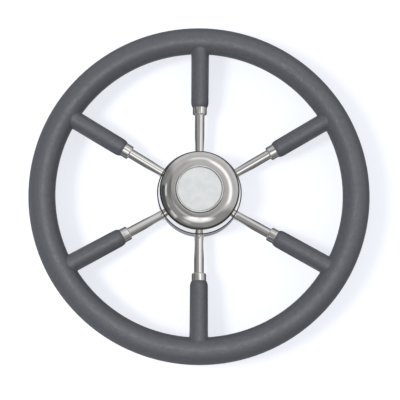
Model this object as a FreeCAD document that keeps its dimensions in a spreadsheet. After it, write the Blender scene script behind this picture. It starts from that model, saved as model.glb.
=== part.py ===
import FreeCAD, Part
import math
import os
import Sketcher

os.makedirs("parts", exist_ok=True)
doc = FreeCAD.newDocument("SteeringWheel")
Vector = FreeCAD.Vector
nearness = 0.01  # places and radii this close count as the same, mm
edgeSamples = 9  # points looked at along a curved edge

# Driving dimensions
# Millimetres and degrees. The origin is the centre of the hub's rear face, +Z runs along the
# wheel's axis towards the helmsman, and the first spoke lies along +Y.

rows = [
    ("wheelDiameter", 350.0, "outside of the grip"),
    ("gripSection", 27.4, "diameter of the grip's round section"),
    ("hoopTube", 16.0, "outside of the steel hoop inside the grip"),
    ("hoopWall", 1.5, "wall of the hoop tube"),
    ("mouldGap", 0.1, "between the foam and the steel inside it"),
    ("spokeCount", 6, "number of spokes"),
    ("spokeRod", 10.0, "diameter of a spoke"),
    ("spokeTilt", 7.1, "forward dish of the spokes, degrees"),
    ("spokeDrop", 0.4, "between a spoke and the front shell's skirt above it"),
    ("spokeRise", 1.5, "spoke axis above the rim plane where it meets the hoop"),
    ("weldGap", 0.1, "between a spoke's coped end and the hoop"),
    ("sleeveStart", 92.0, "hub end of a foam sleeve, along the spoke"),
    ("sleeveNose", 2.6, "length of the sleeve's nose before its rounding"),
    ("sleeveNoseDiameter", 15.6, "sleeve diameter at its end face"),
    ("sleeveHubDiameter", 18.3, "sleeve diameter behind the nose"),
    ("sleeveRimDiameter", 19.0, "sleeve diameter at the rim"),
    ("sleeveNoseRound", 10.0, "rounding between nose and sleeve"),
    ("sleeveBlend", 1.0, "fillet between sleeve and grip"),
    ("ferruleDiameter", 14.8, "outside of a ferrule"),
    ("ferruleLength", 8.0, "visible length of a ferrule"),
    ("ferruleRound", 1.3, "rounding of the ferrule's hub end"),
    ("ferruleGap", 0.1, "between a ferrule and what it fits"),
    ("spigotDiameter", 12.8, "spigot of the ferrule inside the sleeve"),
    ("spigotLength", 8.0, "length of that spigot"),
    ("bossDiameter", 46.0, "turned boss in the hub"),
    ("bossDepth", 22.0, "height of the boss's wide part"),
    ("noseDiameter", 32.0, "nose of the boss, which the shaft nut bears on"),
    ("noseHeight", 30.0, "height of the nose's end face"),
    ("bossChamfer", 1.0, "edges of the boss"),
    ("boreDiameter", 19.05, "large end of the tapered shaft bore"),
    ("boreTaper", 12.0, "length over which the bore narrows by one"),
    ("keyWidth", 4.76, "width of the keyway"),
    ("keyDepth", 2.4, "depth of the keyway beyond the bore"),
    ("socketStart", 14.0, "floor of a spoke socket, along the spoke"),
    ("socketGap", 0.1, "between a spoke and its socket or hole"),
    ("hubDiameter", 87.6, "outside of the rear shell"),
    ("bossProud", 0.4, "boss beyond the rear shell's flat base"),
    ("cupDepth", 22.9, "depth of the rear shell"),
    ("cupWall", 1.5, "sheet of the rear shell"),
    ("cupCorner", 2.5, "outer bend between base and wall"),
    ("cupLip", 0.7, "rounded outer edge of the cup's mouth"),
    ("skirtOverlap", 4.0, "front shell's skirt inside the cup"),
    ("shellGap", 0.2, "between the two shells"),
    ("footInset", 0.8, "joggle of the front shell inside the cup's outside"),
    ("coneHeight", 14.8, "height of the polished cone"),
    ("coneInset", 2.5, "how far the cone runs in over that height"),
    ("coneWall", 1.2, "sheet of the front shell"),
    ("coneFootRound", 0.5, "outer edge of the joggle"),
    ("coneTopRound", 1.6, "bend between cone and top flange"),
    ("coneLedge", 1.1, "top of the cone outside the hub cap"),
    ("capGap", 0.4, "shadow gap below the cap's edge"),
    ("capEdge", 1.7, "height of the cap's upright edge"),
    ("capEdgeRound", 1.4, "rounding of that edge"),
    ("capFlangeWidth", 6.9, "sloping flange between edge and shoulder"),
    ("capFlangeRise", 4.0, "rise of that flange to the shoulder"),
    ("shoulderRound", 6.0, "rounding of the shoulder"),
    ("plateauRise", 0.4, "rise of the plateau to the recess"),
    ("capWall", 1.8, "wall of the cap moulding"),
    ("recessDepth", 1.2, "recess for bezel and disc"),
    ("fingerCount", 6, "snap fingers under the cap"),
    ("fingerThick", 1.4, "thickness of a finger"),
    ("fingerAngle", 22.0, "arc of a finger, degrees"),
    ("fingerInset", 1.2, "outer face of a finger outside the shoulder"),
    ("fingerGap", 0.3, "between a finger and the front shell's opening"),
    ("fingerHook", 0.9, "reach of the hook beyond the finger"),
    ("fingerHookHeight", 2.0, "height of the hook and its lead-in"),
    ("bezelDiameter", 48.4, "outside of the bezel"),
    ("bezelWidth", 1.7, "width of the bezel"),
    ("bezelHeight", 3.0, "height of the bezel"),
    ("bezelRound", 0.8, "rounded crest of the bezel"),
    ("discGap", 0.1, "between disc, bezel and recess"),
    ("discHeight", 2.7, "thickness of the disc at its centre"),
    ("discCrown", 0.5, "crown of the disc's face"),
    ("discRound", 0.9, "rounded edge of that face"),
    ("cutSpare", 2.0, "reach of a cut past the surface that it opens"),
]

sheet = doc.addObject("Spreadsheet::Sheet", "Dims")
for number, (alias, value, note) in enumerate(rows, start=1):
    sheet.set(f"A{number}", note)
    sheet.set(f"B{number}", str(value))
    sheet.setAlias(f"B{number}", alias)
doc.recompute()

# Expressions
# Each name stands for an expression on the sheet, so every place that uses it follows the sheet.

rimRadius = "((Dims.wheelDiameter - Dims.gripSection) / 2)"
hubRadius = "(Dims.hubDiameter / 2)"
rodRadius = "(Dims.spokeRod / 2)"
cupBase = "Dims.bossProud"
cupMouth = f"({cupBase} + Dims.cupDepth)"
skirtEnd = f"({cupMouth} - Dims.skirtOverlap)"
skirtRadius = f"({hubRadius} - Dims.cupWall - Dims.shellGap)"
spokeEntry = f"({skirtEnd} - Dims.spokeDrop - {rodRadius})"
spokeHeight = f"({spokeEntry} - {hubRadius} * tan(Dims.spokeTilt))"
spokeEnd = f"({rimRadius} / cos(Dims.spokeTilt))"
rimHeight = f"({spokeHeight} + {rimRadius} * tan(Dims.spokeTilt) - Dims.spokeRise)"
ferruleStart = "(Dims.sleeveStart - Dims.ferruleLength)"
coneBase = f"({cupMouth} + Dims.shellGap)"
coneFootRadius = f"({hubRadius} - Dims.footInset)"
coneTopRadius = f"({coneFootRadius} - Dims.coneInset)"
coneTopHeight = f"({coneBase} + Dims.coneHeight)"
capBase = f"({coneTopHeight} + Dims.capGap)"
capEdgeTop = f"({capBase} + Dims.capEdge)"
capRadius = f"({coneTopRadius} - Dims.coneLedge)"
shoulderRadius = f"({capRadius} - Dims.capFlangeWidth)"
fingerRadius = f"({shoulderRadius} + Dims.fingerInset)"
shoulderHeight = f"({capEdgeTop} + Dims.capFlangeRise)"
plateauHeight = f"({shoulderHeight} + Dims.plateauRise)"
recessFloor = f"({plateauHeight} - Dims.recessDepth)"
recessRadius = "(Dims.bezelDiameter / 2 + Dims.discGap)"
discRadius = "(Dims.bezelDiameter / 2 - Dims.bezelWidth - Dims.discGap)"


def valueOf(expression):
    return float(sheet.evalExpression(str(expression)))


# Drawing helpers

def originFeature(body, role):
    return next(item for item in body.Origin.OriginFeatures if item.Role == role)


def newBody(name):
    body = doc.addObject("PartDesign::Body", name)
    body.Label = name
    return body


def newSketch(body, name, role="YZ_Plane"):
    sketch = body.newObject("Sketcher::SketchObject", name)
    sketch.AttachmentSupport = [(originFeature(body, role), "")]
    sketch.MapMode = "FlatFace"
    return sketch


def newSpokeSketch(body, name):
    """A sketch in the plane of the first spoke, with its X axis along that spoke."""
    sketch = newSketch(body, name)
    sketch.AttachmentOffset = FreeCAD.Placement(
        Vector(0, valueOf(spokeHeight), 0),
        FreeCAD.Rotation(Vector(0, 0, 1), valueOf("Dims.spokeTilt")),
    )
    sketch.setExpression("AttachmentOffset.Base.y", spokeHeight)
    sketch.setExpression("AttachmentOffset.Rotation.Angle", "Dims.spokeTilt")
    return sketch


def pin(sketch, geometry, point, x, y):
    """Hold a point of the sketch at the place that two expressions give."""
    for kind, axis, expression in (("DistanceX", -2, x), ("DistanceY", -1, y)):
        if expression == "0":
            sketch.addConstraint(Sketcher.Constraint("PointOnObject", geometry, point, axis))
            continue
        place = valueOf(expression)
        index = sketch.addConstraint(Sketcher.Constraint(kind, -1, 1, geometry, point, place))
        sketch.setExpression(f"Constraints[{index}]", expression)


def drawOutline(sketch, corners):
    """Draw a closed outline through the corners, each (x, y) or (x, y, radius) if it is rounded."""
    places = [Vector(valueOf(corner[0]), valueOf(corner[1]), 0) for corner in corners]
    radii = [valueOf(corner[2]) if len(corner) > 2 else 0 for corner in corners]
    count = len(corners)
    arrivals = []
    departures = []
    for number in range(count):
        back = (places[number - 1] - places[number]).normalize()
        ahead = (places[(number + 1) % count] - places[number]).normalize()
        reach = radii[number] / math.tan(back.getAngle(ahead) / 2)
        arrivals.append(places[number] + back * reach)
        departures.append(places[number] + ahead * reach)

    lines = []
    for number in range(count):
        line = Part.LineSegment(departures[number], arrivals[(number + 1) % count])
        lines.append(sketch.addGeometry(line, False))
    for number, corner in enumerate(corners):
        before = lines[number - 1]
        after = lines[number]
        if not radii[number]:
            sketch.addConstraint(Sketcher.Constraint("Coincident", before, 2, after, 1))
            pin(sketch, after, 1, corner[0], corner[1])
            continue
        drawRound(sketch, before, after, arrivals[number], places[number], departures[number], corner)


def drawRound(sketch, before, after, arrival, place, departure, corner):
    """Join two lines by an arc and pin the corner that they would meet in."""
    radius = valueOf(corner[2])
    middle = (arrival + departure) / 2
    offset = math.sqrt(radius ** 2 + (arrival - place).Length ** 2)
    centre = place + (middle - place).normalize() * offset
    bend = centre + (place - centre).normalize() * radius
    arc = sketch.addGeometry(Part.Arc(arrival, bend, departure), False)
    starts = sketch.getPoint(arc, 1).distanceToPoint(arrival) < nearness
    sketch.addConstraint(Sketcher.Constraint("Tangent", before, 2, arc, 1 if starts else 2))
    sketch.addConstraint(Sketcher.Constraint("Tangent", arc, 2 if starts else 1, after, 1))
    index = sketch.addConstraint(Sketcher.Constraint("Radius", arc, radius))
    sketch.setExpression(f"Constraints[{index}]", corner[2])
    point = sketch.addGeometry(Part.Point(place), True)
    sketch.addConstraint(Sketcher.Constraint("PointOnObject", point, 1, before))
    sketch.addConstraint(Sketcher.Constraint("PointOnObject", point, 1, after))
    pin(sketch, point, 1, corner[0], corner[1])


def drawCircle(sketch, x, y, radius):
    centre = Vector(valueOf(x), valueOf(y), 0)
    circle = sketch.addGeometry(Part.Circle(centre, Vector(0, 0, 1), valueOf(radius)), False)
    index = sketch.addConstraint(Sketcher.Constraint("Radius", circle, valueOf(radius)))
    sketch.setExpression(f"Constraints[{index}]", radius)
    pin(sketch, circle, 3, x, y)


# Feature helpers

def turn(body, kind, name, sketch, axis="V_Axis"):
    """Revolve or groove a sketch by a full turn about one of its own axes."""
    feature = body.newObject(f"PartDesign::{kind}", name)
    feature.Profile = sketch
    feature.ReferenceAxis = (sketch, [axis])
    feature.Angle = 360
    sketch.Visibility = False
    doc.recompute()
    return feature


def aroundAxis(body, name, feature, count):
    """Repeat a feature evenly round the wheel's axis."""
    pattern = body.newObject("PartDesign::PolarPattern", name)
    pattern.Originals = [feature]
    pattern.Axis = (originFeature(body, "Z_Axis"), [""])
    pattern.Angle = 360
    pattern.setExpression("Occurrences", count)
    body.Tip = pattern
    doc.recompute()
    return pattern


def circleEdges(feature, rings, along=False):
    """Names of the round edges at the given (radius, distance) places on the wheel's axis or a spoke's."""
    names = []
    for radius, distance in rings:
        step = valueOf(distance)
        centre = Vector(0, 0, step)
        if along:
            tilt = math.radians(valueOf("Dims.spokeTilt"))
            centre = Vector(0, step * math.cos(tilt), valueOf(spokeHeight) + step * math.sin(tilt))
        for number, edge in enumerate(feature.Shape.Edges, start=1):
            if not isinstance(edge.Curve, Part.Circle):
                continue
            near = edge.Curve.Center.distanceToPoint(centre) < nearness
            if near and abs(edge.Curve.Radius - valueOf(radius)) < nearness:
                names.append(f"Edge{number}")
    return names


def roundEdges(body, name, feature, edges, radius, kind="Fillet"):
    if not edges:
        raise ValueError(f"{name} found no edge")
    finish = body.newObject(f"PartDesign::{kind}", name)
    finish.Base = (feature, edges)
    finish.setExpression("Radius" if kind == "Fillet" else "Size", radius)
    doc.recompute()
    return finish


def hollow(body, name, feature, height, wall):
    """Hollow a turned solid to a sheet, open at the flat face at the given height."""
    opened = []
    for number, face in enumerate(feature.Shape.Faces, start=1):
        flat = isinstance(face.Surface, Part.Plane)
        if flat and abs(face.CenterOfMass.z - valueOf(height)) < nearness:
            opened.append(f"Face{number}")
    shell = body.newObject("PartDesign::Thickness", name)
    shell.Base = (feature, opened)
    shell.Reversed = True
    shell.Join = 1
    shell.setExpression("Value", wall)
    doc.recompute()
    return shell


def placeOnSpoke(body, number):
    """Turn a body that was drawn on the first spoke to the spoke of the given number."""
    body.Placement = FreeCAD.Placement(Vector(), FreeCAD.Rotation(Vector(0, 0, 1), 0))
    body.setExpression("Placement.Rotation.Angle", f"{number - 1} * 360 / Dims.spokeCount")


# Rim: the foam moulding with its six sleeves, over a steel hoop

def blendEdges(feature):
    """Names of the curved edges where the sleeves run into the grip."""
    nearest = valueOf(f"{rimRadius} - Dims.gripSection / 2 - Dims.sleeveBlend")
    farthest = valueOf(rimRadius)
    names = []
    for number, edge in enumerate(feature.Shape.Edges, start=1):
        reach = [math.hypot(point.x, point.y) for point in edge.discretize(edgeSamples)]
        turned = isinstance(edge.Curve, (Part.Circle, Part.Line))
        if not turned and min(reach) > nearest and max(reach) < farthest:
            names.append(f"Edge{number}")
    return names


def makeRimCover():
    body = newBody("rim_cover")
    section = newSketch(body, "GripSection")
    drawCircle(section, rimRadius, rimHeight, "Dims.gripSection / 2")
    turn(body, "Revolution", "Grip", section)

    sleeveSection = newSpokeSketch(body, "SleeveSection")
    noseEnd = "(Dims.sleeveStart + Dims.sleeveNose)"
    drawOutline(sleeveSection, [
        ("Dims.sleeveStart", "0"),
        ("Dims.sleeveStart", "Dims.sleeveNoseDiameter / 2"),
        (noseEnd, "Dims.sleeveHubDiameter / 2", "Dims.sleeveNoseRound"),
        (spokeEnd, "Dims.sleeveRimDiameter / 2"),
        (spokeEnd, "0"),
    ])
    sleeve = turn(body, "Revolution", "Sleeve", sleeveSection, "H_Axis")
    sleeves = aroundAxis(body, "Sleeves", sleeve, "Dims.spokeCount")
    roundEdges(body, "SleeveBlend", sleeves, blendEdges(sleeves), "Dims.sleeveBlend")

    cavity = newSketch(body, "HoopSection")
    drawCircle(cavity, rimRadius, rimHeight, "Dims.hoopTube / 2 + Dims.mouldGap")
    turn(body, "Groove", "HoopCavity", cavity)

    boreStart = "(Dims.sleeveStart - Dims.cutSpare)"
    spigotEnd = "(Dims.sleeveStart + Dims.spigotLength + Dims.ferruleGap)"
    spigotRadius = "(Dims.spigotDiameter / 2 + Dims.ferruleGap)"
    boreRadius = f"({rodRadius} + Dims.mouldGap)"
    bore = newSpokeSketch(body, "SpokeBoreSection")
    drawOutline(bore, [
        (boreStart, "0"),
        (boreStart, spigotRadius),
        (spigotEnd, spigotRadius),
        (spigotEnd, boreRadius),
        (spokeEnd, boreRadius),
        (spokeEnd, "0"),
    ])
    groove = turn(body, "Groove", "SpokeBore", bore, "H_Axis")
    aroundAxis(body, "SpokeBores", groove, "Dims.spokeCount")
    return body


def makeRimRing():
    body = newBody("rim_ring")
    section = newSketch(body, "TubeSection")
    drawCircle(section, rimRadius, rimHeight, "Dims.hoopTube / 2")
    drawCircle(section, rimRadius, rimHeight, "Dims.hoopTube / 2 - Dims.hoopWall")
    turn(body, "Revolution", "Hoop", section)
    return body


# Spokes and ferrules, one body for each spoke

def makeSpoke(number):
    body = newBody(f"spoke_{number}")
    section = newSpokeSketch(body, f"RodSection{number}")
    start = "(Dims.socketStart + Dims.socketGap)"
    drawOutline(section, [
        (start, "0"),
        (start, rodRadius),
        (spokeEnd, rodRadius),
        (spokeEnd, "0"),
    ])
    turn(body, "Revolution", f"Rod{number}", section, "H_Axis")
    cope = newSketch(body, f"CopeSection{number}")
    drawCircle(cope, rimRadius, rimHeight, "Dims.hoopTube / 2 + Dims.weldGap")
    turn(body, "Groove", f"Cope{number}", cope)
    placeOnSpoke(body, number)
    return body


def makeFerrule(number):
    body = newBody(f"ferrule_{number}")
    section = newSpokeSketch(body, f"FerruleSection{number}")
    spigotEnd = "(Dims.sleeveStart + Dims.spigotLength)"
    boreRadius = f"({rodRadius} + Dims.ferruleGap)"
    drawOutline(section, [
        (ferruleStart, boreRadius),
        (ferruleStart, "Dims.ferruleDiameter / 2"),
        ("Dims.sleeveStart", "Dims.ferruleDiameter / 2"),
        ("Dims.sleeveStart", "Dims.spigotDiameter / 2"),
        (spigotEnd, "Dims.spigotDiameter / 2"),
        (spigotEnd, boreRadius),
    ])
    collar = turn(body, "Revolution", f"Collar{number}", section, "H_Axis")
    edges = circleEdges(collar, [("Dims.ferruleDiameter / 2", ferruleStart)], along=True)
    roundEdges(body, f"CollarRound{number}", collar, edges, "Dims.ferruleRound")
    placeOnSpoke(body, number)
    return body


# Hub: turned boss, pressed rear cup and pressed front cone

def makeHubBoss():
    body = newBody("hub_boss")
    section = newSketch(body, "BossSection")
    drawOutline(section, [
        ("0", "0"),
        ("Dims.bossDiameter / 2", "0"),
        ("Dims.bossDiameter / 2", "Dims.bossDepth"),
        ("Dims.noseDiameter / 2", "Dims.bossDepth"),
        ("Dims.noseDiameter / 2", "Dims.noseHeight"),
        ("0", "Dims.noseHeight"),
    ])
    blank = turn(body, "Revolution", "Blank", section)
    edges = circleEdges(blank, [
        ("Dims.bossDiameter / 2", "Dims.bossDepth"),
        ("Dims.noseDiameter / 2", "Dims.noseHeight"),
    ])
    roundEdges(body, "BossChamfer", blank, edges, "Dims.bossChamfer", kind="Chamfer")

    mouth = "(Dims.boreDiameter / 2)"
    shrink = "(Dims.noseHeight / Dims.boreTaper / 2)"
    bore = newSketch(body, "TaperSection")
    drawOutline(bore, [
        ("0", "0"),
        (mouth, "0"),
        (f"{mouth} - {shrink}", "Dims.noseHeight"),
        ("0", "Dims.noseHeight"),
    ])
    turn(body, "Groove", "TaperedBore", bore)

    keySection = newSketch(body, "KeywaySection", "XZ_Plane")
    drawOutline(keySection, [
        ("0", "0"),
        (f"{mouth} + Dims.keyDepth", "0"),
        (f"{mouth} + Dims.keyDepth - {shrink}", "Dims.noseHeight"),
        ("0", "Dims.noseHeight"),
    ])
    keyway = body.newObject("PartDesign::Pocket", "Keyway")
    keyway.Profile = keySection
    keyway.SideType = "Symmetric"
    keyway.setExpression("Length", "Dims.keyWidth")
    doc.recompute()

    socketSection = newSpokeSketch(body, "SocketSection")
    socketRadius = f"({rodRadius} + Dims.socketGap)"
    socketEnd = "(Dims.bossDiameter / 2 + Dims.cutSpare)"
    drawOutline(socketSection, [
        ("Dims.socketStart", "0"),
        ("Dims.socketStart", socketRadius),
        (socketEnd, socketRadius),
        (socketEnd, "0"),
    ])
    socket = turn(body, "Groove", "Socket", socketSection, "H_Axis")
    aroundAxis(body, "Sockets", socket, "Dims.spokeCount")
    return body


def makeRearShell():
    body = newBody("rear_shell")
    section = newSketch(body, "CupSection")
    drawOutline(section, [
        ("0", cupBase),
        (hubRadius, cupBase),
        (hubRadius, cupMouth),
        ("0", cupMouth),
    ])
    blank = turn(body, "Revolution", "CupBlank", section)
    edges = circleEdges(blank, [(hubRadius, cupBase)])
    bend = roundEdges(body, "CupBend", blank, edges, "Dims.cupCorner")
    shell = hollow(body, "CupSheet", bend, cupMouth, "Dims.cupWall")
    lip = circleEdges(shell, [(hubRadius, cupMouth)])
    roundEdges(body, "CupLip", shell, lip, "Dims.cupLip")

    bossHole = newSketch(body, "BossHoleSection")
    bossHoleRadius = "(Dims.bossDiameter / 2 + Dims.weldGap)"
    bossHoleTop = f"({cupBase} + Dims.cupWall + Dims.cutSpare)"
    drawOutline(bossHole, [
        ("0", "0"),
        (bossHoleRadius, "0"),
        (bossHoleRadius, bossHoleTop),
        ("0", bossHoleTop),
    ])
    turn(body, "Groove", "BossHole", bossHole)

    holeSection = newSpokeSketch(body, "SpokeHoleSection")
    holeRadius = f"({rodRadius} + Dims.socketGap)"
    holeEnd = f"({hubRadius} + Dims.cutSpare)"
    drawOutline(holeSection, [
        ("Dims.bossDiameter / 2", "0"),
        ("Dims.bossDiameter / 2", holeRadius),
        (holeEnd, holeRadius),
        (holeEnd, "0"),
    ])
    hole = turn(body, "Groove", "SpokeHole", holeSection, "H_Axis")
    aroundAxis(body, "SpokeHoles", hole, "Dims.spokeCount")
    return body


def makeFrontShell():
    body = newBody("front_shell")
    section = newSketch(body, "ConeSection")
    drawOutline(section, [
        ("0", skirtEnd),
        (skirtRadius, skirtEnd),
        (skirtRadius, coneBase),
        (coneFootRadius, coneBase),
        (coneTopRadius, coneTopHeight),
        ("0", coneTopHeight),
    ])
    blank = turn(body, "Revolution", "ConeBlank", section)
    top = circleEdges(blank, [(coneTopRadius, coneTopHeight)])
    topRound = roundEdges(body, "ConeTopRound", blank, top, "Dims.coneTopRound")
    sheetMetal = hollow(body, "ConeSheet", topRound, skirtEnd, "Dims.coneWall")
    foot = circleEdges(sheetMetal, [(coneFootRadius, coneBase)])
    roundEdges(body, "ConeFootRound", sheetMetal, foot, "Dims.coneFootRound")

    opening = newSketch(body, "OpeningSection")
    openingRadius = f"({fingerRadius} + Dims.fingerGap)"
    openingTop = f"({coneTopHeight} + Dims.cutSpare)"
    drawOutline(opening, [
        ("0", coneBase),
        (openingRadius, coneBase),
        (openingRadius, openingTop),
        ("0", openingTop),
    ])
    turn(body, "Groove", "CapOpening", opening)
    return body


# Hub cap with its snap fingers, bezel and face disc

def makeHubCap():
    body = newBody("hub_cap")
    section = newSketch(body, "DomeSection")
    insideRadius = f"({capRadius} - Dims.capWall)"
    flangeSlope = "(Dims.capFlangeRise / Dims.capFlangeWidth)"
    plateauSlope = f"(Dims.plateauRise / ({shoulderRadius} - {recessRadius}))"
    stepRadius = f"({recessRadius} + Dims.capWall)"
    drawOutline(section, [
        (insideRadius, capBase),
        (capRadius, capBase),
        (capRadius, capEdgeTop, "Dims.capEdgeRound"),
        (shoulderRadius, shoulderHeight, "Dims.shoulderRound"),
        (recessRadius, plateauHeight),
        (recessRadius, recessFloor),
        ("0", recessFloor),
        ("0", f"{recessFloor} - Dims.capWall"),
        (stepRadius, f"{recessFloor} - Dims.capWall"),
        (stepRadius, f"{plateauHeight} - Dims.capWall * (1 + {plateauSlope})"),
        (shoulderRadius, f"{shoulderHeight} - Dims.capWall"),
        (insideRadius, f"{capEdgeTop} - Dims.capWall * (1 - {flangeSlope})"),
    ])
    turn(body, "Revolution", "Dome", section)

    hookTop = f"({coneTopHeight} - Dims.coneWall - Dims.shellGap)"
    fingerEnd = f"({hookTop} - Dims.fingerHookHeight)"
    fingerRoot = f"({shoulderHeight} - Dims.capWall)"
    fingerSection = newSketch(body, "FingerSection")
    drawOutline(fingerSection, [
        (f"{fingerRadius} - Dims.fingerThick", fingerRoot),
        (f"{fingerRadius} - Dims.fingerThick", fingerEnd),
        (fingerRadius, fingerEnd),
        (f"{fingerRadius} + Dims.fingerHook", hookTop),
        (fingerRadius, hookTop),
        (fingerRadius, fingerRoot),
    ])
    finger = body.newObject("PartDesign::Revolution", "Finger")
    finger.Profile = fingerSection
    finger.ReferenceAxis = (fingerSection, ["V_Axis"])
    finger.Midplane = True
    finger.setExpression("Angle", "Dims.fingerAngle")
    doc.recompute()
    aroundAxis(body, "Fingers", finger, "Dims.fingerCount")
    return body


def makeCapBezel():
    body = newBody("cap_bezel")
    inside = "(Dims.bezelDiameter / 2 - Dims.bezelWidth)"
    crest = f"({recessFloor} + Dims.bezelHeight)"
    section = newSketch(body, "BezelSection")
    drawOutline(section, [
        (inside, recessFloor),
        ("Dims.bezelDiameter / 2", recessFloor),
        ("Dims.bezelDiameter / 2", crest),
        (inside, crest),
    ])
    ring = turn(body, "Revolution", "BezelRing", section)
    edges = circleEdges(ring, [("Dims.bezelDiameter / 2", crest), (inside, crest)])
    roundEdges(body, "BezelCrest", ring, edges, "Dims.bezelRound")
    return body


def makeCapDisc():
    body = newBody("cap_disc")
    section = newSketch(body, "DiscSection")
    crownRadius = f"(({discRadius} ^ 2 + Dims.discCrown ^ 2) / (2 * Dims.discCrown))"
    crownTop = f"({recessFloor} + Dims.discHeight)"
    side = valueOf(discRadius)
    ball = valueOf(crownRadius)
    bend = valueOf("Dims.discRound")
    floor = Vector(0, valueOf(recessFloor), 0)
    corner = Vector(side, floor.y, 0)
    top = Vector(0, valueOf(crownTop), 0)
    ballCentre = Vector(0, top.y - ball, 0)
    bendCentre = Vector(side - bend, ballCentre.y + math.sqrt((ball - bend) ** 2 - (side - bend) ** 2), 0)
    sideTop = Vector(side, bendCentre.y, 0)
    bendAngle = math.atan2(bendCentre.y - ballCentre.y, bendCentre.x)
    crownEdge = ballCentre + Vector(math.cos(bendAngle), math.sin(bendAngle), 0) * ball
    normal = Vector(0, 0, 1)
    base = section.addGeometry(Part.LineSegment(floor, corner), False)
    edge = section.addGeometry(Part.LineSegment(corner, sideTop), False)
    bendArc = Part.ArcOfCircle(Part.Circle(bendCentre, normal, bend), 0, bendAngle)
    rounding = section.addGeometry(bendArc, False)
    crownArc = Part.ArcOfCircle(Part.Circle(ballCentre, normal, ball), bendAngle, math.pi / 2)
    crown = section.addGeometry(crownArc, False)
    axis = section.addGeometry(Part.LineSegment(top, floor), False)
    for before, after in ((base, edge), (crown, axis), (axis, base)):
        section.addConstraint(Sketcher.Constraint("Coincident", before, 2, after, 1))
    for before, after in ((edge, rounding), (rounding, crown)):
        section.addConstraint(Sketcher.Constraint("Tangent", before, 2, after, 1))
    section.addConstraint(Sketcher.Constraint("Vertical", edge))
    section.addConstraint(Sketcher.Constraint("PointOnObject", crown, 3, -2))
    for arc, expression in ((rounding, "Dims.discRound"), (crown, crownRadius)):
        index = section.addConstraint(Sketcher.Constraint("Radius", arc, valueOf(expression)))
        section.setExpression(f"Constraints[{index}]", expression)
    pin(section, base, 1, "0", recessFloor)
    pin(section, edge, 1, discRadius, recessFloor)
    pin(section, axis, 1, "0", crownTop)
    turn(body, "Revolution", "Disc", section)
    return body


makeRimCover()
makeRimRing()
for number in range(1, int(valueOf("Dims.spokeCount")) + 1):
    makeSpoke(number)
    makeFerrule(number)
makeHubBoss()
makeRearShell()
makeFrontShell()
makeHubCap()
makeCapBezel()
makeCapDisc()
doc.recompute()

# Checks and export

for item in doc.Objects:
    if "Invalid" in item.State or "Error" in item.State:
        raise RuntimeError(f"{item.Name} failed: {item.State}")

parts = [item for item in doc.Objects if item.TypeId == "PartDesign::Body"]
for part in parts:
    if part.Shape.isNull() or not part.Shape.isValid():
        raise RuntimeError(f"{part.Label} has no valid shape")

for part in parts:
    part.Shape.exportStep(f"parts/{part.Label}.step")
    box = part.Shape.BoundBox
    print(f"{part.Label:12s} solids {len(part.Shape.Solids)} volume {part.Shape.Volume:11.1f}"
          f" z {box.ZMin:6.2f} to {box.ZMax:6.2f}")
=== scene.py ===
import math
import bpy
import bmesh
from mathutils import Matrix, Vector


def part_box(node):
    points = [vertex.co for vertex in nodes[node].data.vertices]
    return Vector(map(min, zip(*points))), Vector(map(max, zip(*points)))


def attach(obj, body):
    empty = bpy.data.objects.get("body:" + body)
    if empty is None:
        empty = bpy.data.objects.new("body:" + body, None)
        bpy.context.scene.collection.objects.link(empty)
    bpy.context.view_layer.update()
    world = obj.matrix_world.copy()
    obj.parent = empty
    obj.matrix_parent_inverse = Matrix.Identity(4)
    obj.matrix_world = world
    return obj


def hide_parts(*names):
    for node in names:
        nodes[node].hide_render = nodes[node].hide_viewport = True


mm = 0.001

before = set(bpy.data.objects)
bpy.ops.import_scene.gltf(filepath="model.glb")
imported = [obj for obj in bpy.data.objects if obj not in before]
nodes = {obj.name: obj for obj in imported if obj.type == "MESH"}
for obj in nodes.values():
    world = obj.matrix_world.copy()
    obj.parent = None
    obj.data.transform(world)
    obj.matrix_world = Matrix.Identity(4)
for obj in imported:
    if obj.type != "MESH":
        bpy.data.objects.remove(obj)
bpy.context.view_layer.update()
print("frame loaded:", len(nodes), "nodes")


# small helpers for node trees

def addNode(tree, kind, values=None, **settings):
    node = tree.nodes.new(kind)
    for name, value in settings.items():
        setattr(node, name, value)
    for socket, value in (values or {}).items():
        node.inputs[socket].default_value = value
    return node


def join(tree, source, target):
    tree.links.new(source, target)


def newMaterial(name):
    material = bpy.data.materials.new(name)
    material.use_nodes = True
    tree = material.node_tree
    shader = tree.nodes["Principled BSDF"]
    place = addNode(tree, "ShaderNodeTexCoord").outputs["Object"]
    return material, tree, shader, place


def noise(tree, place, scale, detail=2.0, roughness=0.5):
    values = {"Scale": scale, "Detail": detail, "Roughness": roughness}
    node = addNode(tree, "ShaderNodeTexNoise", values)
    join(tree, place, node.inputs["Vector"])
    return node.outputs["Fac"]


def remap(tree, source, low, high, toLow, toHigh):
    values = {"From Min": low, "From Max": high, "To Min": toLow, "To Max": toHigh}
    node = addNode(tree, "ShaderNodeMapRange", values, clamp=True)
    join(tree, source, node.inputs["Value"])
    return node.outputs["Result"]


def blendColour(tree, factor, first, second):
    node = addNode(tree, "ShaderNodeMix", data_type="RGBA")
    join(tree, factor, node.inputs["Factor"])
    node.inputs["A"].default_value = (*first, 1)
    node.inputs["B"].default_value = (*second, 1)
    return node.outputs["Result"]


def blendValue(tree, factor, first, second):
    node = addNode(tree, "ShaderNodeMix", data_type="FLOAT")
    join(tree, factor, node.inputs["Factor"])
    for socket, value in (("A", first), ("B", second)):
        if isinstance(value, (int, float)):
            node.inputs[socket].default_value = value
        else:
            join(tree, value, node.inputs[socket])
    return node.outputs["Result"]


def bump(tree, height, distance, shader, below=None):
    node = addNode(tree, "ShaderNodeBump", {"Distance": distance, "Strength": 1.0})
    join(tree, height, node.inputs["Height"])
    if below:
        join(tree, below, node.inputs["Normal"])
    join(tree, node.outputs["Normal"], shader.inputs["Normal"])
    return node.outputs["Normal"]


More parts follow.
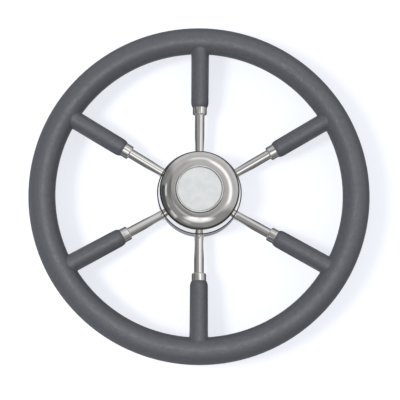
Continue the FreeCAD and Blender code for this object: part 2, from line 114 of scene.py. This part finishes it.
def calc(tree, operation, first, second=None):
    node = addNode(tree, "ShaderNodeMath", operation=operation)
    for number, value in enumerate((first, second)):
        if value is None:
            continue
        if isinstance(value, (int, float)):
            node.inputs[number].default_value = value
        else:
            join(tree, value, node.inputs[number])
    return node.outputs[0]


def edge(tree, distance, half, blur):
    values = {"To Min": 1.0, "To Max": 0.0}
    node = addNode(tree, "ShaderNodeMapRange", values, interpolation_type="SMOOTHSTEP")
    join(tree, distance, node.inputs["Value"])
    join(tree, calc(tree, "SUBTRACT", half, blur), node.inputs["From Min"])
    join(tree, calc(tree, "ADD", half, blur), node.inputs["From Max"])
    return node.outputs["Result"]


# foam of the grip and its sleeves

foamLook = {
    "dark": (0.076, 0.082, 0.098),
    "pale": (0.088, 0.094, 0.110),
    "mottle": 240,  # patches per metre
    "mottleDetail": (5.0, 0.6),
    "mottleBand": (0.35, 0.65),
    "grain": 900,  # cells per metre
    "grainHeight": 0.14 * mm,
    "poreReach": 0.6,
    "swell": 260,
    "swellDetail": 3.0,
    "swellHeight": 0.08 * mm,
    "smooth": 0.30,
    "rough": 0.48,
    "roughBand": (0.3, 0.7),
    "gloss": 1.0,
}


def makeFoam():
    look = foamLook
    material, tree, shader, place = newMaterial("foamGrip")
    mottle = noise(tree, place, look["mottle"], *look["mottleDetail"])
    share = remap(tree, mottle, *look["mottleBand"], 0, 1)
    join(tree, blendColour(tree, share, look["dark"], look["pale"]), shader.inputs["Base Color"])
    cells = addNode(tree, "ShaderNodeTexVoronoi", {"Scale": look["grain"], "Randomness": 1.0})
    join(tree, place, cells.inputs["Vector"])
    pores = remap(tree, cells.outputs["Distance"], 0, look["poreReach"], 0, 1)
    waves = noise(tree, place, look["swell"], look["swellDetail"])
    swell = bump(tree, waves, look["swellHeight"], shader)
    bump(tree, pores, look["grainHeight"], shader, swell)
    roughness = remap(tree, mottle, *look["roughBand"], look["rough"], look["smooth"])
    join(tree, roughness, shader.inputs["Roughness"])
    shader.inputs["Specular IOR Level"].default_value = look["gloss"]
    return material


# polished and plain metal; each gap ring (radius and half width in mm) is painted dark, as painted
# shade in the gap between two parts

metalClouds = {"detail": (4.0, 0.6), "band": (0.35, 0.65), "waveDetail": 2.0}
# painted shade in the gaps: how soft its edge is, how strongly it is painted and how dark
gapShadeLook = {"blur": 0.12, "share": 0.93, "colour": (0.02, 0.02, 0.022)}
steelLook = {
    "colour": (0.82, 0.81, 0.795),
    "dull": (0.78, 0.77, 0.755),
    "smooth": 0.02,
    "rough": 0.06,
    "cloud": 90,
    "wave": 45,
    "waveHeight": 0.008 * mm,
}
# the shells' rings are painted shade under the cap's edge and at the parting line of the two shells
shellLook = dict(steelLook, paintedGapRings=((39.75, 0.65), (43.1, 0.4)))
capLook = {
    "colour": (0.77, 0.76, 0.75),
    "dull": (0.72, 0.71, 0.70),
    "smooth": 0.02,
    "rough": 0.06,
    "cloud": 140,
    "wave": 60,
    "waveHeight": 0.015 * mm,
    # painted shade in the gap under the cap's edge and in the gap round the bezel
    "paintedGapRings": ((39.5, 0.35), (24.3, 0.25)),
}
bezelLook = dict(steelLook, colour=(0.95, 0.95, 0.94), dull=(0.93, 0.93, 0.92), smooth=0.12,
                 rough=0.16)
plainLook = {
    "colour": (0.52, 0.52, 0.51),
    "dull": (0.44, 0.44, 0.43),
    "smooth": 0.28,
    "rough": 0.42,
    "cloud": 250,
    "wave": 900,
    "waveHeight": 0.01 * mm,
}


# darkens the colour in rings by radius: painted shade in the gaps between parts
def paintedGapShade(tree, place, paintedGapRings, colour):
    flat = addNode(tree, "ShaderNodeVectorMath", operation="MULTIPLY")
    join(tree, place, flat.inputs[0])
    flat.inputs[1].default_value = (1 / mm, 1 / mm, 0)
    radius = addNode(tree, "ShaderNodeVectorMath", operation="LENGTH")
    join(tree, flat.outputs["Vector"], radius.inputs[0])
    for middle, half in paintedGapRings:
        apart = calc(tree, "ABSOLUTE", calc(tree, "SUBTRACT", radius.outputs["Value"], middle))
        inside = edge(tree, apart, half, gapShadeLook["blur"])
        gapShadeShare = calc(tree, "MULTIPLY", inside, gapShadeLook["share"])
        node = addNode(tree, "ShaderNodeMix", data_type="RGBA")
        join(tree, gapShadeShare, node.inputs["Factor"])
        join(tree, colour, node.inputs["A"])
        node.inputs["B"].default_value = (*gapShadeLook["colour"], 1)
        colour = node.outputs["Result"]
    return colour


def makeMetal(name, look):
    material, tree, shader, place = newMaterial(name)
    shader.inputs["Metallic"].default_value = 1.0
    band = metalClouds["band"]
    cloud = noise(tree, place, look["cloud"], *metalClouds["detail"])
    colour = blendColour(tree, remap(tree, cloud, *band, 0, 1), look["dull"], look["colour"])
    # painted shade in the gaps between parts
    colour = paintedGapShade(tree, place, look.get("paintedGapRings", ()), colour)
    join(tree, colour, shader.inputs["Base Color"])
    roughness = remap(tree, cloud, *band, look["rough"], look["smooth"])
    join(tree, roughness, shader.inputs["Roughness"])
    waves = noise(tree, place, look["wave"], metalClouds["waveDetail"])
    bump(tree, waves, look["waveHeight"], shader)
    return material


discLook = {
    "colour": (0.82, 0.855, 0.865),
    "pale": (0.92, 0.935, 0.93),
    "cloud": 110,
    "cloudDetail": 3.0,
    "cloudBand": (0.35, 0.65),
    "rough": 0.34,
    "metal": 0.15,
    "coatRough": 0.03,
    # painted shade in the gap between the disc and the bezel
    "paintedGapRings": ((22.5, 0.2),),
}


def makeDiscFinish():
    look = discLook
    material, tree, shader, place = newMaterial("satinDisc")
    shader.inputs["Metallic"].default_value = look["metal"]
    shader.inputs["Coat Weight"].default_value = 1.0
    shader.inputs["Coat Roughness"].default_value = look["coatRough"]
    cloud = noise(tree, place, look["cloud"], look["cloudDetail"])
    share = remap(tree, cloud, *look["cloudBand"], 0, 1)
    colour = blendColour(tree, share, look["colour"], look["pale"])
    # painted shade in the gap round the disc's edge
    colour = paintedGapShade(tree, place, look["paintedGapRings"], colour)
    join(tree, colour, shader.inputs["Base Color"])
    shader.inputs["Roughness"].default_value = look["rough"]
    return material


foam = makeFoam()
steel = makeMetal("polishedSteel", steelLook)
shellSteel = makeMetal("shellSteel", shellLook)
capMetal = makeMetal("metallisedCap", capLook)
bezelSteel = makeMetal("bezelSteel", bezelLook)
plainSteel = makeMetal("plainSteel", plainLook)
discFinish = makeDiscFinish()
finishes = {
    "rim_cover": foam,
    "rim_ring": plainSteel,
    "hub_boss": plainSteel,
    "front_shell": shellSteel,
    "rear_shell": shellSteel,
    "hub_cap": capMetal,
    "cap_bezel": bezelSteel,
    "cap_disc": discFinish,
}
for name, node in nodes.items():
    node.data.materials.clear()
    node.data.materials.append(finishes.get(name, steel))
print("finishes ready")


# turned pieces: an outline of (place along the axis, radius) points in mm, swept round +Y

creaseAngle = 35  # degrees, past which an edge stays sharp


def roundedCorner(before, corner, after, radius, steps=8):
    before, corner, after = Vector(before), Vector(corner), Vector(after)
    toBefore = (before - corner).normalized()
    toAfter = (after - corner).normalized()
    half = toBefore.angle(toAfter) / 2
    centre = corner + (toBefore + toAfter).normalized() * radius / math.sin(half)
    first = toBefore * radius / math.tan(half) + corner - centre
    sweep = first.angle_signed(toAfter * radius / math.tan(half) + corner - centre)
    points = []
    for step in range(steps + 1):
        arm = Matrix.Rotation(-sweep * step / steps, 2) @ first
        points.append(tuple(centre + arm))
    return points


def turnedMesh(name, outline, sides, ring=False):
    mesh = bpy.data.meshes.new(name)
    shape = bmesh.new()
    rings = []
    for along, radius in outline:
        if radius == 0:
            rings.append([shape.verts.new((0, along * mm, 0))] * sides)
            continue
        spots = []
        for side in range(sides):
            turn = 2 * math.pi * side / sides
            across, up = radius * mm * math.cos(turn), radius * mm * math.sin(turn)
            spots.append(shape.verts.new((across, along * mm, up)))
        rings.append(spots)
    following = rings[1:] + rings[:1] if ring else rings[1:]
    for first, second in zip(rings, following):
        for side in range(sides):
            after = (side + 1) % sides
            corners = [first[side], first[after], second[after], second[side]]
            shape.faces.new(list(dict.fromkeys(corners)))
    bmesh.ops.recalc_face_normals(shape, faces=shape.faces)
    shape.to_mesh(mesh)
    shape.free()
    for face in mesh.polygons:
        face.use_smooth = True
    mesh.set_sharp_from_angle(angle=math.radians(creaseAngle))
    return mesh


# one piece repeated evenly round the wheel's axis

def ringTree():
    tree = bpy.data.node_groups.new("roundTheHub", "GeometryNodeTree")
    tree.interface.new_socket("Geometry", in_out="INPUT", socket_type="NodeSocketGeometry")
    tree.interface.new_socket("Count", in_out="INPUT", socket_type="NodeSocketInt")
    tree.interface.new_socket("Material", in_out="INPUT", socket_type="NodeSocketMaterial")
    tree.interface.new_socket("Geometry", in_out="OUTPUT", socket_type="NodeSocketGeometry")
    entry = addNode(tree, "NodeGroupInput").outputs
    places = addNode(tree, "GeometryNodeMeshLine", {"Offset": (0, 0, 0)})
    join(tree, entry["Count"], places.inputs["Count"])
    step = calc(tree, "DIVIDE", 2 * math.pi, entry["Count"])
    angle = calc(tree, "MULTIPLY", addNode(tree, "GeometryNodeInputIndex").outputs[0], step)
    rotation = addNode(tree, "ShaderNodeCombineXYZ")
    join(tree, angle, rotation.inputs["Z"])
    copies = addNode(tree, "GeometryNodeInstanceOnPoints")
    join(tree, places.outputs[0], copies.inputs["Points"])
    join(tree, entry["Geometry"], copies.inputs["Instance"])
    join(tree, rotation.outputs[0], copies.inputs["Rotation"])
    real = addNode(tree, "GeometryNodeRealizeInstances")
    join(tree, copies.outputs[0], real.inputs[0])
    dressed = addNode(tree, "GeometryNodeSetMaterial")
    join(tree, real.outputs[0], dressed.inputs["Geometry"])
    join(tree, entry["Material"], dressed.inputs["Material"])
    leave = addNode(tree, "NodeGroupOutput")
    join(tree, dressed.outputs[0], leave.inputs[0])
    return tree


def roundTheHub(name, mesh, count, material, replaced):
    maker = bpy.data.objects.new(name + "Maker", mesh)
    bpy.context.scene.collection.objects.link(maker)
    modifier = maker.modifiers.new("ring", "NODES")
    modifier.node_group = ringNodes
    values = {"Count": count, "Material": material}
    for item in ringNodes.interface.items_tree:
        if item.in_out == "INPUT" and item.name in values:
            modifier[item.identifier] = values[item.name]
    bpy.context.view_layer.update()
    evaluated = maker.evaluated_get(bpy.context.evaluated_depsgraph_get())
    piece = bpy.data.objects.new(name, bpy.data.meshes.new_from_object(evaluated))
    bpy.data.objects.remove(maker)
    bpy.context.scene.collection.objects.link(piece)
    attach(piece, "root")
    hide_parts(*replaced)
    print(name, "ready:", len(piece.data.polygons), "faces")


# spokes: polished rods from the hub boss up to the hoop, whose ends are coped to fit the hoop

spokeLook = {
    "count": 6,
    "radius": 5.0,
    "tilt": 7.1,  # degrees up from the wheel's plane
    "sides": 72,
    "weldGap": 0.1,
    "endRings": (5.0, 3.6, 2.0, 0),  # radii
    "fitSteps": 30,
}


def spokePlace():
    look = spokeLook
    low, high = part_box("spoke_1")
    tilt = math.radians(look["tilt"])
    start = (low.y / mm + look["radius"] * math.sin(tilt)) / math.cos(tilt)
    root = low.z / mm + look["radius"] * math.cos(tilt) - start * math.sin(tilt)
    return start, Matrix.Translation((0, 0, root * mm)) @ Matrix.Rotation(tilt, 4, "X")


def makeSpokes():
    look = spokeLook
    low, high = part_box("rim_ring")
    tube = (high.z - low.z) / 2
    hoopRadius = high.x - tube
    hoopHeight = (high.z + low.z) / 2
    clear = tube + look["weldGap"] * mm
    farEnd = hoopRadius / mm
    outline = [(spokeStart, 0), (spokeStart, look["radius"])]
    outline += [(farEnd, radius) for radius in look["endRings"]]
    mesh = turnedMesh("spokeRod", outline, look["sides"])
    mesh.transform(toSpoke)
    axis = toSpoke.to_3x3() @ Vector((0, 1, 0))
    for vertex in mesh.vertices:
        if vertex.co.y < hoopRadius / 2:
            continue
        # the shortest way back along the spoke that clears the hoop, found by halving
        tooShort, enough = 0.0, 2 * clear
        for step in range(look["fitSteps"]):
            middle = (tooShort + enough) / 2
            spot = vertex.co - axis * middle
            apart = math.hypot(math.hypot(spot.x, spot.y) - hoopRadius, spot.z - hoopHeight)
            if apart < clear:
                tooShort = middle
            else:
                enough = middle
        vertex.co -= axis * enough
    names = [f"spoke_{number}" for number in range(1, look["count"] + 1)]
    roundTheHub("spokes", mesh, look["count"], steel, names)


# ferrules: turned collars whose spigots sit in the sleeves

ferruleLook = {
    "start": 84.0,  # along the spoke
    "shoulder": 92.0,
    "end": 100.0,
    "radius": 7.4,
    "spigot": 6.4,
    "bore": 5.1,
    "round": 1.3,
    "sides": 96,
}


def makeFerrules():
    look = ferruleLook
    hubSide = (look["start"], look["bore"])
    corner = (look["start"], look["radius"])
    shoulder = (look["shoulder"], look["radius"])
    outline = [hubSide]
    outline += roundedCorner(hubSide, corner, shoulder, look["round"])
    outline += [shoulder, (look["shoulder"], look["spigot"])]
    outline += [(look["end"], look["spigot"]), (look["end"], look["bore"])]
    mesh = turnedMesh("ferruleCollar", outline, look["sides"], ring=True)
    mesh.transform(toSpoke)
    count = spokeLook["count"]
    names = [f"ferrule_{number}" for number in range(1, count + 1)]
    roundTheHub("ferrules", mesh, count, steel, names)


# hub cap: a turned moulding with a soft shoulder, and six snap fingers under it

capShape = {
    "edge": 1.7,  # height of the upright edge
    "edgeRound": 1.4,
    "edgeSteps": 12,
    "flange": (6.9, 4.0),  # width and rise
    "shoulderRound": 18.0,
    "shoulderSteps": 30,
    "plateauRise": 0.4,
    "recessRadius": 24.3,
    "recessDepth": 1.2,
    "recessRound": 0.6,
    "wall": 1.8,
    "sides": 240,
    "fingers": 6,
    "fingerArc": 22,  # degrees
    "fingerOutside": 33.7,
    "fingerThick": 1.4,
    "hook": (0.9, 2.0),  # reach and height
    "fingerSteps": 10,
}


def makeCap():
    look = capShape
    low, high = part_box("hub_cap")
    radius, top = high.x / mm, high.z / mm
    width, rise = look["flange"]
    wall, recess = look["wall"], look["recessRadius"]
    floor = top - look["recessDepth"]
    shoulder = (top - look["plateauRise"], radius - width)
    brim = (shoulder[0] - rise, radius)
    base = (brim[0] - look["edge"], radius)
    plateau = (top, recess)
    inside = radius - wall
    outline = [(floor, 0), (floor, recess)]
    outline += roundedCorner((floor, recess), plateau, shoulder, look["recessRound"])
    outline += roundedCorner(plateau, shoulder, brim, look["shoulderRound"], look["shoulderSteps"])
    outline += roundedCorner(shoulder, brim, base, look["edgeRound"], look["edgeSteps"])
    outline += [base, (base[0], inside), (brim[0] - wall * (1 - rise / width), inside)]
    outline += [(shoulder[0] - wall, shoulder[1]), (top - wall, recess + wall)]
    outline += [(floor - wall, recess + wall), (floor - wall, 0)]
    mesh = turnedMesh("capMoulding", outline, look["sides"])
    mesh.transform(Matrix.Rotation(math.pi / 2, 4, "X"))
    roundTheHub("cap", mesh, 1, capMetal, ["hub_cap"])
    makeFingers(low.z / mm, shoulder[0] - wall)


def makeFingers(end, root):
    look = capShape
    outside = look["fingerOutside"]
    inside = outside - look["fingerThick"]
    reach, height = look["hook"]
    hook = end + height
    section = [(inside, root), (inside, end), (outside, end)]
    section += [(outside + reach, hook), (outside, hook), (outside, root)]
    shape = bmesh.new()
    columns = []
    for step in range(look["fingerSteps"] + 1):
        turn = math.radians(look["fingerArc"]) * (step / look["fingerSteps"] - 0.5)
        way = Vector((math.cos(turn), math.sin(turn), 0)) * mm
        columns.append([shape.verts.new(way * radius + Vector((0, 0, level * mm)))
                        for radius, level in section])
    for first, second in zip(columns, columns[1:]):
        for corner in range(len(section)):
            after = (corner + 1) % len(section)
            shape.faces.new((first[corner], first[after], second[after], second[corner]))
    shape.faces.new(columns[0])
    shape.faces.new(columns[-1])
    bmesh.ops.recalc_face_normals(shape, faces=shape.faces)
    mesh = bpy.data.meshes.new("capFinger")
    shape.to_mesh(mesh)
    shape.free()
    roundTheHub("capFingers", mesh, look["fingers"], capMetal, ["hub_cap"])


ringNodes = ringTree()
spokeStart, toSpoke = spokePlace()
makeSpokes()
makeFerrules()
makeCap()


# floor, white to the camera; in the metal's reflections it glows in rings by distance from the hub:
# painted shade at the hub's foot, a painted pool of light just beyond it, then painted darker and
# paler rings further out

floorLook = {
    "half": 3.0,  # metres
    "glow": 0.725,  # seen directly
    "tint": (0.91, 0.935, 1.0),
    "colour": (0.49, 0.495, 0.51),
    "bounceColour": 0.85,  # lights the pieces from below
    "mirroredColour": 0.12,
    "ramp": 250,  # millimetres from the hub's axis
    # painted light and shade round the hub, seen only in reflections: (millimetres from the hub's
    # axis, glow)
    "mirroredPaintedRings": ((46, 0.24), (51, 0.95), (58, 0.95), (68, 0.05), (118, 0.05), (142, 0.50),
                 (175, 0.60), (205, 0.20)),
}


def makeFloor():
    look = floorLook
    half = look["half"]
    mesh = bpy.data.meshes.new("floor")
    corners = [(-half, -half, 0), (half, -half, 0), (half, half, 0), (-half, half, 0)]
    mesh.from_pydata(corners, [], [(0, 1, 2, 3)])
    floor = bpy.data.objects.new("floor", mesh)
    bpy.context.scene.collection.objects.link(floor)
    material = bpy.data.materials.new("floorPaper")
    material.use_nodes = True
    tree = material.node_tree
    tree.nodes.clear()
    path = addNode(tree, "ShaderNodeLightPath")
    place = addNode(tree, "ShaderNodeTexCoord").outputs["Object"]
    apart = addNode(tree, "ShaderNodeVectorMath", operation="LENGTH")
    join(tree, place, apart.inputs[0])
    ramp = addNode(tree, "ShaderNodeValToRGB")
    share = calc(tree, "DIVIDE", apart.outputs["Value"], look["ramp"] * mm)
    join(tree, share, ramp.inputs["Fac"])
    stops = ramp.color_ramp.elements
    while len(stops) < len(look["mirroredPaintedRings"]):
        stops.new(0.5)
    for stop, (radius, strength) in zip(stops, look["mirroredPaintedRings"]):
        stop.position = radius / look["ramp"]
        stop.color = (strength, strength, strength, 1)
    unseen = blendColour(tree, path.outputs["Is Glossy Ray"], [look["bounceColour"]] * 3,
                         [look["mirroredColour"]] * 3)
    colour = addNode(tree, "ShaderNodeMix", data_type="RGBA")
    join(tree, path.outputs["Is Camera Ray"], colour.inputs["Factor"])
    join(tree, unseen, colour.inputs["A"])
    colour.inputs["B"].default_value = (*look["colour"], 1)
    paper = addNode(tree, "ShaderNodeBsdfDiffuse")
    join(tree, colour.outputs["Result"], paper.inputs["Color"])
    glow = addNode(tree, "ShaderNodeEmission", {"Color": (*look["tint"], 1)})
    direct = calc(tree, "MULTIPLY", path.outputs["Is Camera Ray"], look["glow"])
    # the painted rings of light and shade glow in mirrored rays only
    mirroredPaintedRings = calc(tree, "MULTIPLY", path.outputs["Is Glossy Ray"], ramp.outputs["Color"])
    join(tree, calc(tree, "ADD", direct, mirroredPaintedRings), glow.inputs["Strength"])
    both = addNode(tree, "ShaderNodeAddShader")
    join(tree, paper.outputs[0], both.inputs[0])
    join(tree, glow.outputs[0], both.inputs[1])
    # clear from below, so that the wheel's back can be looked at
    clear = addNode(tree, "ShaderNodeMixShader")
    join(tree, addNode(tree, "ShaderNodeNewGeometry").outputs["Backfacing"], clear.inputs[0])
    join(tree, both.outputs[0], clear.inputs[1])
    join(tree, addNode(tree, "ShaderNodeBsdfTransparent").outputs[0], clear.inputs[2])
    output = addNode(tree, "ShaderNodeOutputMaterial")
    join(tree, clear.outputs[0], output.inputs["Surface"])
    mesh.materials.append(material)


makeFloor()
print("floor ready")


# studio: plain even light, and soft boxes that only the metal mirrors

studioLook = {
    "ambient": 0.53,
    "wall": (0.144, 0.32),  # just above the horizon and high up
    "wallBand": (0.1, 0.6),
    "horizon": 0.04,  # share of the wall's light that is left there
    "horizonBand": (-0.02, 0.16),
    "backdrop": 1.0,  # seen directly
}
# place and size in metres, power in watts
sideLamp = {"place": (-0.95, -0.13, 1.3), "size": 0.42, "power": 11}
gripLamp = {"place": (0, -0.02, 0.80), "size": 0.24, "power": 0.8}
softBoxInputs = ("Azimuth", "Elevation", "Half Width", "Half Height", "Blur", "Strength")
softBoxes = [  # degrees, but for the strength; a negative one is a dark flag
    (56, 40, 78, 42, 8, 0.27),
    (56, 16, 70, 9, 6, 0.18),
    (33, 59, 42, 9.5, 6, 0.72),
    (88, 50, 14, 7, 6, 0.38),
    (-18, 58, 10, 9, 7, 0.12),
    (-90, 70, 34, 15, 10, 0.88),
    (-150, 80, 60, 6, 6, 0.28),
    (-50, 77, 30, 7, 7, 0.20),
    (140, 73, 38, 17, 8, -0.12),
    (168, 43, 10, 4.5, 3, 0.60),
    (-144, 37, 8, 3.5, 3, 0.60),
    (-163, 38, 4, 2.5, 2, 0.35),
    (-115, 41, 8, 3, 3, 0.36),
    (-140, 29, 58, 6, 3, -0.18),
]


def softBoxGroup():
    group = bpy.data.node_groups.new("softBox", "ShaderNodeTree")
    group.interface.new_socket("Direction", in_out="INPUT", socket_type="NodeSocketVector")
    for name in softBoxInputs:
        group.interface.new_socket(name, in_out="INPUT", socket_type="NodeSocketFloat")
    group.interface.new_socket("Light", in_out="OUTPUT", socket_type="NodeSocketFloat")
    entry = addNode(group, "NodeGroupInput")
    turn = addNode(group, "ShaderNodeVectorRotate", rotation_type="Z_AXIS")
    join(group, entry.outputs["Direction"], turn.inputs["Vector"])
    back = calc(group, "MULTIPLY", entry.outputs["Azimuth"], -math.pi / 180)
    join(group, back, turn.inputs["Angle"])
    parts = addNode(group, "ShaderNodeSeparateXYZ")
    join(group, turn.outputs[0], parts.inputs[0])
    around = calc(group, "ABSOLUTE", calc(group, "ARCTAN2", parts.outputs["Y"], parts.outputs["X"]))
    around = calc(group, "MULTIPLY", around, 180 / math.pi)
    up = calc(group, "MULTIPLY", calc(group, "ARCSINE", parts.outputs["Z"]), 180 / math.pi)
    off = calc(group, "ABSOLUTE", calc(group, "SUBTRACT", up, entry.outputs["Elevation"]))
    across = edge(group, around, entry.outputs["Half Width"], entry.outputs["Blur"])
    along = edge(group, off, entry.outputs["Half Height"], entry.outputs["Blur"])
    light = calc(group, "MULTIPLY", across, along)
    light = calc(group, "MULTIPLY", light, entry.outputs["Strength"])
    leave = addNode(group, "NodeGroupOutput")
    join(group, light, leave.inputs["Light"])
    return group


def makeStudio():
    look = studioLook
    world = bpy.data.worlds.new("studio")
    bpy.context.scene.world = world
    world.use_nodes = True
    tree = world.node_tree
    tree.nodes.clear()
    direction = addNode(tree, "ShaderNodeTexCoord").outputs["Generated"]
    parts = addNode(tree, "ShaderNodeSeparateXYZ")
    join(tree, direction, parts.inputs[0])
    total = remap(tree, parts.outputs["Z"], *look["wallBand"], *look["wall"])
    group = softBoxGroup()
    for values in softBoxes:
        box = addNode(tree, "ShaderNodeGroup")
        box.node_tree = group
        join(tree, direction, box.inputs["Direction"])
        for name, value in zip(softBoxInputs, values):
            box.inputs[name].default_value = value
        total = calc(tree, "ADD", total, box.outputs["Light"])
    dim = remap(tree, parts.outputs["Z"], *look["horizonBand"], look["horizon"], 1)
    total = calc(tree, "MULTIPLY", total, dim)
    path = addNode(tree, "ShaderNodeLightPath")
    strength = blendValue(tree, path.outputs["Is Glossy Ray"], look["ambient"], total)
    strength = blendValue(tree, path.outputs["Is Camera Ray"], strength, look["backdrop"])
    background = addNode(tree, "ShaderNodeBackground", {"Color": (1, 1, 1, 1)})
    join(tree, strength, background.inputs["Strength"])
    output = addNode(tree, "ShaderNodeOutputWorld")
    join(tree, background.outputs[0], output.inputs["Surface"])


def makeLamp(name, place, size, power):
    data = bpy.data.lights.new(name, "AREA")
    data.size = size
    data.energy = power
    lamp = bpy.data.objects.new(name, data)
    lamp.location = place
    lamp.rotation_euler = Vector(place).to_track_quat("Z", "Y").to_euler()
    lamp.visible_camera = False
    bpy.context.scene.collection.objects.link(lamp)
    return lamp


makeStudio()
makeLamp("sideLamp", **sideLamp).visible_glossy = False
lit = bpy.data.collections.new("litByGripLamp")
lit.objects.link(nodes["rim_cover"])
makeLamp("gripLamp", **gripLamp).light_linking.receiver_collection = lit
print("studio ready")


# camera at the photograph's angle

cameraLook = {
    "lens": 78.48,
    "sensor": 36,
    "place": (-12.94, -152.97, 909.33),  # millimetres
    "turn": (9.2944, -0.9263, 0.2942),  # degrees
}


def makeCamera():
    look = cameraLook
    data = bpy.data.cameras.new("camera")
    data.lens = look["lens"]
    data.sensor_width = look["sensor"]
    camera = bpy.data.objects.new("camera", data)
    camera.location = Vector(look["place"]) * mm
    camera.rotation_euler = [math.radians(angle) for angle in look["turn"]]
    bpy.context.scene.collection.objects.link(camera)
    bpy.context.scene.camera = camera


makeCamera()
print("camera ready")
bpy.context.scene.view_settings.view_transform = "Standard"
